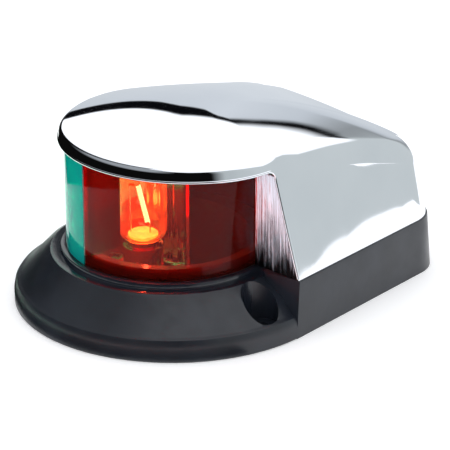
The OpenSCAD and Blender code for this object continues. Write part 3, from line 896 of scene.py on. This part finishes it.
def make_base():
    low, high = block_rows()
    edge = 0.35
    rings = []
    for z, inset in [(0, 0), (SEAT_Z - edge, 0), (SEAT_Z - 0.3 * edge, 0.3 * edge), (SEAT_Z, edge)]:
        half = [Vector(a).lerp(Vector(b), z / SEAT_Z) for a, b in zip(low, high)]
        half = [p * (1 - inset / max(p.length, 1)) for p in half]
        half[-1].x = 0
        loop = [(p.x, p.y, z) for p in half] + [(-p.x, p.y, z) for p in half[-2::-1]]
        rings.append(loop)
    block = skin("block", rings, 30)

    cone_r = BASE_R + 3
    cone_profile = [(0, 0), (cone_r, 0), (cone_r, RING_Z - CONE_SLOPE * (cone_r - RING_R)),
                    (RING_R + 0.25, RING_Z - 0.18), (RING_R + 0.05, RING_Z - 0.04),
                    (RING_R - 0.15, RING_Z), (SEAT_R + 0.25, RING_Z), (SEAT_R + 0.05, RING_Z + 0.12),
                    (SEAT_R, RING_Z + 0.3), (SEAT_R, SEAT_Z - 0.3), (SEAT_R - 0.1, SEAT_Z - 0.1),
                    (SEAT_R - 0.3, SEAT_Z), (0, SEAT_Z)]
    cone = lathe("base_body", cone_profile, (0, LENS_Y), 256, 50)
    rim_profile = [(0, 0), (BASE_R - 0.3, 0), (BASE_R, 0.3), (BASE_R, 3.4), (BASE_R - 0.3, 5.0),
                   (BASE_R - 0.84, 5.85), (BASE_R - 1.4, 6.15), (BASE_R - 2.1, FLANGE_Z + 0.15),
                   (BASE_R - 14.1, FLANGE_Z + 12 * RIM_SLOPE), (0, FLANGE_Z + 12 * RIM_SLOPE)]
    rim = lathe("rim", rim_profile, (0, 0), 256, 50)
    boolean(cone, rim, "INTERSECT")
    boolean(cone, block, "UNION")
    boolean(cone, post(SPIGOT_R, FLOOR_Z, SPIGOT_Z, (0, LENS_Y), 160), "UNION")

    hollow = lathe("tool", [(0, -1), (BASE_R - SKIRT_T, -1), (BASE_R - SKIRT_T, HOLLOW_FRONT_Z),
                            (RING_R + 1.5, RING_UNDER_Z), (0, RING_UNDER_Z)], (0, 0), 128)
    inner = closed(half_outline(0, BASE_R - SKIRT_T, 1, corner_centre(BASE_R, REAR_Y), CORNER_R - SKIRT_T,
                                0, 40, 12))
    back = skin("tool", [[(x, y, z) for x, y in inner] for z in (-1, SEAT_Z - PLATE_T)])
    boolean(back, block_between((-50, HOLLOW_REAR_Y, -2), (50, 80, 20)), "INTERSECT")
    boolean(hollow, back, "UNION")
    boolean(hollow, post(SPIGOT_R, -2, SEAT_Z, (0, LENS_Y), 128), "DIFFERENCE")
    for x in (-HOLE_X, HOLE_X):
        boolean(hollow, post(COUNTERBORE_R + COUNTERBORE_WALL, -2, SEAT_Z, (x, 0)), "DIFFERENCE")
    for place_at in BOSS_PLACES:
        boolean(hollow, post(SCREW_POST_R, -2, SEAT_Z, place_at), "DIFFERENCE")
    boolean(cone, hollow, "DIFFERENCE")

    well = post(WELL_R, FLOOR_Z, SPIGOT_Z + 1, (0, LENS_Y), 128)
    for x in (-BRACKET_POST_X, BRACKET_POST_X):
        boolean(well, post(BRACKET_POST_R, 0, BRACKET_POST_Z, (x, LAMP_Y)), "DIFFERENCE")
    boolean(cone, well, "DIFFERENCE")
    boolean(cone, post(SPIGOT_R - 1, -1, FLOOR_UNDER_Z, (0, LENS_Y), 128), "DIFFERENCE")
    low_z, high_z = SEAT_Z - SEAL_GROOVE_DEPTH, SEAT_Z + 1
    groove = lathe("tool", [(SPIGOT_R, low_z), (LENS_R + 0.1, low_z), (LENS_R + 0.1, high_z),
                            (SPIGOT_R, high_z)], (0, LENS_Y), 160)
    boolean(cone, groove, "DIFFERENCE")
    for x in (-HOLE_X, HOLE_X):
        boolean(cone, post(HOLE_R, -1, SEAT_Z, (x, 0), 48), "DIFFERENCE")
        boolean(cone, post(COUNTERBORE_R, COUNTERBORE_Z, SEAT_Z + 1, (x, 0), 72), "DIFFERENCE")
    for place_at in BOSS_PLACES:
        boolean(cone, post(SCREW_HOLE_R, -1, SEAT_Z + 1, place_at, 40), "DIFFERENCE")
        boolean(cone, post(SCREW_HEAD_R, -1, SCREW_HEAD_Z, place_at, 48), "DIFFERENCE")
    boolean(cone, post(WIRE_HOLE_R, -1, FLOOR_Z + 1, (0, WIRE_HOLE_Y), 48), "DIFFERENCE")
    shade(cone, 28)
    return cone


piece(make_base(), "base", "black_plastic", "base_housing")


# ---------------------------------------------------------------- lens
def lens_profile():
    edge = 0.35
    return rounded([(LENS_IN_R, SEAT_Z), (LENS_R, SEAT_Z, edge), (LENS_R, LENS_TOP_Z, edge),
                    (LENS_IN_R + TONGUE_T, LENS_TOP_Z), (LENS_IN_R + TONGUE_T, TONGUE_Z, 0.2),
                    (LENS_IN_R, TONGUE_Z, 0.2)], 0, 4)


def make_lens(name, start, end):
    return sector(name, lens_profile(), start, end, (0, LENS_Y), 150, 40)


BOW = -math.pi / 2
SCREEN_HALF_T = 0.32
GAP = math.asin(SCREEN_HALF_T / LENS_R)
piece(make_lens("lens_red_shell", BOW + GAP, BOW + LENS_SWEEP), "base", "red_acrylic", "lens_red")
piece(make_lens("lens_green_shell", BOW - LENS_SWEEP, BOW - GAP), "base", "green_acrylic", "lens_green")


# ---------------------------------------------------------------- lamp
def arc(centre_r, centre_z, radius_r, radius_z, start, end, steps):
    """Points of an ellipse quarter in the (radius, height) plane, between two angles in degrees."""
    points = []
    for i in range(steps + 1):
        a = math.radians(start + (end - start) * i / steps)
        points.append((centre_r + radius_r * math.cos(a), centre_z + radius_z * math.sin(a)))
    return points


GLASS_R = glass_high.x
GLASS_TOP_Z = glass_high.z
GLASS_T = 0.5
GLASS_WIDE_Z = 22.4
CAP_R = 4.5
CAP_TOP_Z = cap_high.z


def make_glass():
    foot = CAP_R - 0.4
    swell = GLASS_R - foot
    outer = arc(foot, GLASS_WIDE_Z, swell, GLASS_WIDE_Z - CAP_TOP_Z, -90, 0, 16)
    dome = arc(0, GLASS_TOP_Z - GLASS_R, GLASS_R, GLASS_R, 0, 90, 28)
    inside_r = GLASS_R - GLASS_T
    dome_in = arc(0, GLASS_TOP_Z - GLASS_R, inside_r, inside_r, 90, 0, 28)
    inner = arc(foot - GLASS_T, GLASS_WIDE_Z, swell, GLASS_WIDE_Z - CAP_TOP_Z - 0.3, 0, -90, 16)
    profile = [(foot, glass_low.z)] + outer + dome[:-1] + [(0, GLASS_TOP_Z)]
    inner_profile = [(0, GLASS_TOP_Z - GLASS_T)] + dome_in[1:] + inner + [(foot - GLASS_T, glass_low.z)]
    return lathe("bulb_glass_shell", profile + inner_profile, (0, LAMP_Y), 96, 50)


piece(make_glass(), "bulb", "clear_glass", "bulb_glass")

FILAMENT_LOW, FILAMENT_HIGH = (0.9, 0.9, 23.2), (-0.9, -0.9, 33.4)
FILAMENT_R = 0.72
FILAMENT_WIRE_R = 0.2


def make_filament():
    """A finely coiled wire between its two supports."""
    low = Vector(FILAMENT_LOW) + Vector((0, LAMP_Y, 0))
    high = Vector(FILAMENT_HIGH) + Vector((0, LAMP_Y, 0))
    along = (high - low).normalized()
    side = along.orthogonal().normalized()
    other = along.cross(side)
    turns, per_turn = 17, 12
    path = []
    for i in range(turns * per_turn + 1):
        a = 2 * math.pi * i / per_turn
        middle = low.lerp(high, 0.02 + 0.96 * i / (turns * per_turn))
        path.append(middle + (side * math.cos(a) + other * math.sin(a)) * (FILAMENT_R - FILAMENT_WIRE_R))
    return tube("filament_coil", path, FILAMENT_WIRE_R, 8)


def glowing(name, color, strength):
    """Hot tungsten: it gives off its own light."""
    mat = material(name, (0.35, 0.3, 0.25), 0.4, 1.0)
    shader_of(mat).inputs["Emission Strength"].default_value = strength
    hotter = tuple(min(1.0, c * 1.25) for c in color)
    filament_and_painted_glow = ramp(mat, noise(mat, 300, 2), [(0.3, color), (0.7, hotter)])
    link(mat, filament_and_painted_glow, shader_of(mat).inputs["Emission Color"])
    return mat


MATERIALS["tungsten"] = glowing("tungsten", (0.72, 0.78, 0.50), 48)
piece(make_filament(), "bulb", "tungsten", "bulb_filament")


def lamp_light():
    """The light that the hot filament throws on the socket, the mirror and the lens."""
    data = bpy.data.lights.new("filament_light", "POINT")
    data.energy = 1.8
    data.color = (1.0, 0.80, 0.34)
    data.shadow_soft_size = 1.2 * MM
    light = bpy.data.objects.new("filament_light", data)
    bpy.context.collection.objects.link(light)
    light.location = Vector((0, LAMP_Y, 28.3)) * MM
    light.visible_camera = False
    light.visible_glossy = False
    light.visible_transmission = False
    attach(light, "bulb")


lamp_light()


def make_spring():
    """The compression spring under the sliding contact, with closed ends."""
    low, high = span("contact_spring")
    wire = 0.22
    coil_r = (high.x - low.x) / 2 - wire
    turns, per_turn = 4.5, 48
    count = int(turns * per_turn)
    path = []
    for i in range(count + 1):
        share = i / count
        rise = share * share * (3 - 2 * share)
        a = 2 * math.pi * turns * share
        path.append((coil_r * math.cos(a), LAMP_Y + coil_r * math.sin(a),
                     low.z + wire + (high.z - low.z - 2 * wire) * rise))
    return tube("contact_spring_coil", path, wire - 0.01, 12)


spring = piece(make_spring(), "base", "spring_steel", "contact_spring")
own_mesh(spring)

# ---------------------------------------------------------------- CAD nodes that keep their shape
KEPT = {
    "black_plastic": ["lens_screen"],
    "polished_aluminium": ["reflector"],
    "zinc_plated_steel": ["socket_bracket", "bracket_screws"],
    "stainless_steel": ["hood_screws"],
    "nickel_plated_brass": ["socket_shell", "bulb_cap", "bulb_pins"],
    "brass": ["live_terminal", "earth_terminal", "contact_button"],
    "phenolic": ["socket_insulator", "contact_carrier"],
    "nickel_wire": ["filament_supports"],
    "solder": ["bulb_tip_contact"],
    "black_glass": ["bulb_tip_insulator"],
    "clear_glass": ["bulb_stem"],
    "rubber": ["hood_seal", "lens_seal_lower", "lens_seal_upper", "wire_grommet"],
    "foam_rubber": ["deck_gasket"],
}
SMALL_EDGE = {"lens_screen": 0.12, "reflector": 0.15, "socket_bracket": 0.2, "bracket_screws": 0.12,
              "socket_shell": 0.12, "bulb_cap": 0.1, "live_terminal": 0.1, "earth_terminal": 0.1,
              "wire_grommet": 0.3, "deck_gasket": 0.2, "hood_screws": 0.15, "contact_carrier": 0.15}


FINISH_UNLIKE_SLOT = {"bulb_stem": "stem_glass"}


def keep_node(name, slot_name):
    """A CAD node whose shape is right keeps its mesh and gets its finish and softened edges."""
    obj = nodes[name]
    finish_with(obj, FINISH_UNLIKE_SLOT.get(name, slot_name))
    for polygon in obj.data.polygons:
        polygon.material_index = 0
    if name in SMALL_EDGE:
        bevel = obj.modifiers.new("soft_edges", "BEVEL")
        bevel.width = SMALL_EDGE[name] * MM
        bevel.segments = 2
        bevel.limit_method = "ANGLE"
        bevel.angle_limit = math.radians(50)


for slot_name, names in KEPT.items():
    for kept_name in names:
        keep_node(kept_name, slot_name)


# ---------------------------------------------------------------- studio, in metres
CAMERA_AZIMUTH, CAMERA_ELEVATION = math.radians(53.67), math.radians(22.87)
CAMERA_LENS = 204.57
CAMERA_DISTANCE = 0.67943
CAMERA_MIDDLE = Vector((0, 0, 0.020))
CAMERA_SHIFT_RIGHT, CAMERA_SHIFT_DOWN = 0.01338, 0.0002


def make_camera():
    """The photograph's viewpoint, with the object off the middle of the frame as it is there."""
    flat = math.cos(CAMERA_ELEVATION)
    back = Vector((math.sin(CAMERA_AZIMUTH) * flat, -math.cos(CAMERA_AZIMUTH) * flat,
                   math.sin(CAMERA_ELEVATION)))
    right = Vector((math.cos(CAMERA_AZIMUTH), math.sin(CAMERA_AZIMUTH), 0))
    data = bpy.data.cameras.new("camera")
    data.lens = CAMERA_LENS
    data.sensor_width = 36
    data.clip_start, data.clip_end = 0.01, 50
    camera = bpy.data.objects.new("camera", data)
    bpy.context.collection.objects.link(camera)
    camera.location = CAMERA_MIDDLE + back * CAMERA_DISTANCE
    aim = CAMERA_MIDDLE + right * CAMERA_SHIFT_RIGHT - back.cross(right) * CAMERA_SHIFT_DOWN
    camera.rotation_mode = "QUATERNION"
    camera.rotation_quaternion = (aim - camera.location).to_track_quat("-Z", "Y")
    scene.camera = camera


make_camera()


def studio_object(name, bm, mat, reflections_only=True):
    """A mesh of the studio, which isn't part of the object. Most are seen by reflections alone."""
    mesh = bpy.data.meshes.new(name)
    bm.to_mesh(mesh)
    bm.free()
    mesh.materials.append(mat)
    obj = bpy.data.objects.new(name, mesh)
    bpy.context.collection.objects.link(obj)
    if reflections_only:
        for hidden in ("camera", "diffuse", "transmission", "shadow", "volume_scatter"):
            setattr(obj, "visible_" + hidden, False)
    return obj


FLOOR_HALF = 6
FLOOR_DROP = 0.00005


def make_floor():
    bm = bmesh.new()
    corners = ((-1, -1), (1, -1), (1, 1), (-1, 1))
    bm.faces.new([bm.verts.new((x * FLOOR_HALF, y * FLOOR_HALF, -FLOOR_DROP)) for x, y in corners])
    mat = material("floor", (0.96, 0.96, 0.965), 0.8)
    vary(mat, "Base Color", (0.95, 0.95, 0.955), (0.975, 0.975, 0.98), 6)
    shader_of(mat).inputs["Emission Color"].default_value = (1, 1, 1, 1)
    shader_of(mat).inputs["Emission Strength"].default_value = 0.18
    studio_object("floor", bm, mat, reflections_only=False)


make_floor()

# Bearings are in degrees, anticlockwise from above: 0 towards the camera, 90 to its right, 180 beyond
# the object. The stops by bearing began as colours and reflection directions that a scratch program
# read off the photograph. They were rounded, and changed after looking at renders.
DOME_R = 1.3
DOME_Z = 0.03
PANEL_EDGE_STOPS = [(0, 0.64), (40, 0.58), (85, 0.32), (115, 0.34), (150, 0.315), (162, 0.355),
                    (174, 0.385), (182, 0.36), (196, 0.10), (203, 0.14), (209, 0.80), (300, 0.84),
                    (360, 0.64)]
WALL_STOPS = [(0, 0.004), (19, 0.004), (30, (0.50, 0.54, 0.55)), (70, (0.62, 0.665, 0.67)),
              (140, (0.62, 0.665, 0.67)), (150, (0.30, 0.32, 0.33)), (158, (0.60, 0.64, 0.68)),
              (172, (0.72, 0.76, 0.80)), (192, (0.62, 0.66, 0.70)), (199, 0.01), (205, 0.004),
              (360, 0.004)]
BACKDROP_STOPS = [(0, 0.0), (214, 0.0), (236, 1.0), (322, 1.0), (346, 0.0), (360, 0.0)]
LINE_STOPS = [(0, 0.0), (140, 0.0), (150, 0.04), (165, 0.045), (173, 0.07), (184, 0.2), (196, 0.26),
              (204, 0.1), (210, 0.0)]
PANEL_EDGE_UNIT, LINE_UNIT = 90, 45
BACKDROP_ELEVATION, BACKDROP_SOFT = 33, 16
TABLE_REACH = [(0, 0.20), (40, 0.20), (80, 0.24), (89, 0.435), (91.5, 0.435), (92, 0.39), (92.6, 0.30),
               (95, 0.235), (97, 0.20), (114, 0.15), (150, 0.30), (200, 0.16), (225, 0.10),
               (280, 0.14), (360, 0.20)]
TABLE_STEPS = 1080
TABLE_DROP = 0.0296


def studio_reflections():
    """What the chrome mirrors: a ceiling panel, the dark line under it, and pale, grey and dark walls."""
    mat = bpy.data.materials.new("studio_reflections")
    mat.use_nodes = True
    tree = mat.node_tree
    tree.nodes.remove(tree.nodes["Principled BSDF"])
    turn = node(mat, "ShaderNodeMapping", Rotation=(0, 0, math.pi / 2 - CAMERA_AZIMUTH))
    link(mat, node(mat, "ShaderNodeTexCoord").outputs["Object"], turn.inputs["Vector"])
    direction = split_xyz(mat, vector_maths(mat, "NORMALIZE", turn.outputs["Vector"])["Vector"])
    degrees = 180 / math.pi
    elevation = maths(mat, "MULTIPLY", maths(mat, "ARCSINE", direction["Z"]), degrees)
    bearing = maths(mat, "MULTIPLY", maths(mat, "ARCTAN2", direction["Y"], direction["X"]), degrees)
    turned = maths(mat, "DIVIDE", maths(mat, "MODULO", maths(mat, "ADD", bearing, 360), 360), 360)

    def step(value, edge, soft):
        """0 below the edge and 1 above it, blurred over a width."""
        start = maths(mat, "SUBTRACT", edge, soft / 2)
        return maths(mat, "DIVIDE", maths(mat, "SUBTRACT", value, start), soft, clamp=True)

    def around(stops):
        """A grey or a colour that depends on the bearing only."""
        return ramp(mat, turned, [(b / 360, v if isinstance(v, tuple) else grey(v)) for b, v in stops])

    panel_edge = maths(mat, "MULTIPLY", around(PANEL_EDGE_STOPS), PANEL_EDGE_UNIT)
    behind = maths(mat, "MULTIPLY", around(BACKDROP_STOPS),
                   step(elevation, BACKDROP_ELEVATION, BACKDROP_SOFT))
    wall = mix(mat, behind, around(WALL_STOPS), (0.34, 0.36, 0.38))
    line_width = maths(mat, "MULTIPLY", around(LINE_STOPS), LINE_UNIT)
    on_line = step(elevation, maths(mat, "SUBTRACT", panel_edge, line_width), 1.0)
    lined = mix(mat, on_line, wall, (0.003, 0.003, 0.004))
    wall = mix(mat, step(line_width, 0.3, 0.1), wall, lined)
    bright = mix(mat, step(elevation, panel_edge, 1.5), wall, (1.25, 1.27, 1.3))
    glow = node(mat, "ShaderNodeEmission", Strength=1.0)
    link(mat, bright, glow.inputs["Color"])
    link(mat, glow.outputs[0], tree.nodes["Material Output"].inputs["Surface"])
    return mat


def make_dome(mat):
    bm = bmesh.new()
    bmesh.ops.create_uvsphere(bm, u_segments=96, v_segments=48, radius=DOME_R)
    turn = Matrix.Rotation(CAMERA_AZIMUTH - math.pi / 2, 3, "Z")
    bmesh.ops.rotate(bm, cent=(0, 0, 0), matrix=turn, verts=bm.verts)
    studio_object("dome", bm, mat).location = (0, 0, DOME_Z)


def table_reach(bearing):
    """How far the bright table top reaches before the room shows in the chrome."""
    for (b0, r0), (b1, r1) in zip(TABLE_REACH, TABLE_REACH[1:]):
        if bearing <= b1:
            return r0 + (r1 - r0) * (bearing - b0) / (b1 - b0)
    return TABLE_REACH[-1][1]


def make_table_edge(mat):
    """A card from the edge of the bright table top out to the dome, in the colours of the dome."""
    bm = bmesh.new()
    inner, outer = [], []
    for i in range(TABLE_STEPS):
        bearing = 360 * i / TABLE_STEPS
        a = math.radians(bearing) + CAMERA_AZIMUTH - math.pi / 2
        for ring, reach in ((inner, table_reach(bearing)), (outer, DOME_R)):
            ring.append(bm.verts.new((reach * math.cos(a), reach * math.sin(a), -TABLE_DROP)))
    bridge(bm, [inner, outer], close_start=False, close_end=False)
    studio_object("table_edge", bm, mat).location = (0, 0, DOME_Z)


room = studio_reflections()
make_dome(room)
make_table_edge(room)

SHADE_GAPS = (1.2, 19)
SHADE_START, SHADE_SWEEP, SHADE_STEPS = 200, 150, 60
SHADE_HEIGHT = 0.0002


def make_contact_shade():
    """Keeps the bright floor right at the foot of the flange out of the rim's gloss."""
    bm = bmesh.new()
    turns = [math.radians(SHADE_START + SHADE_SWEEP * i / SHADE_STEPS) for i in range(SHADE_STEPS + 1)]
    rings = []
    for gap in SHADE_GAPS:
        r = (BASE_R + gap) * MM
        rings.append([bm.verts.new((r * math.cos(t), r * math.sin(t), SHADE_HEIGHT)) for t in turns])
    bridge(bm, rings, close_start=False, close_end=False, wrap=False)
    studio_object("contact_shade", bm, dull("shade_black", grey(0.004), grey(0.008), 0.9, 20))


make_contact_shade()

world = bpy.data.worlds.new("studio")
scene.world = world
world.use_nodes = True
background = world.node_tree.nodes["Background"]
background.inputs["Color"].default_value = (0.97, 0.98, 1.0, 1)
background.inputs["Strength"].default_value = 1.2
scene.view_settings.view_transform = "Standard"
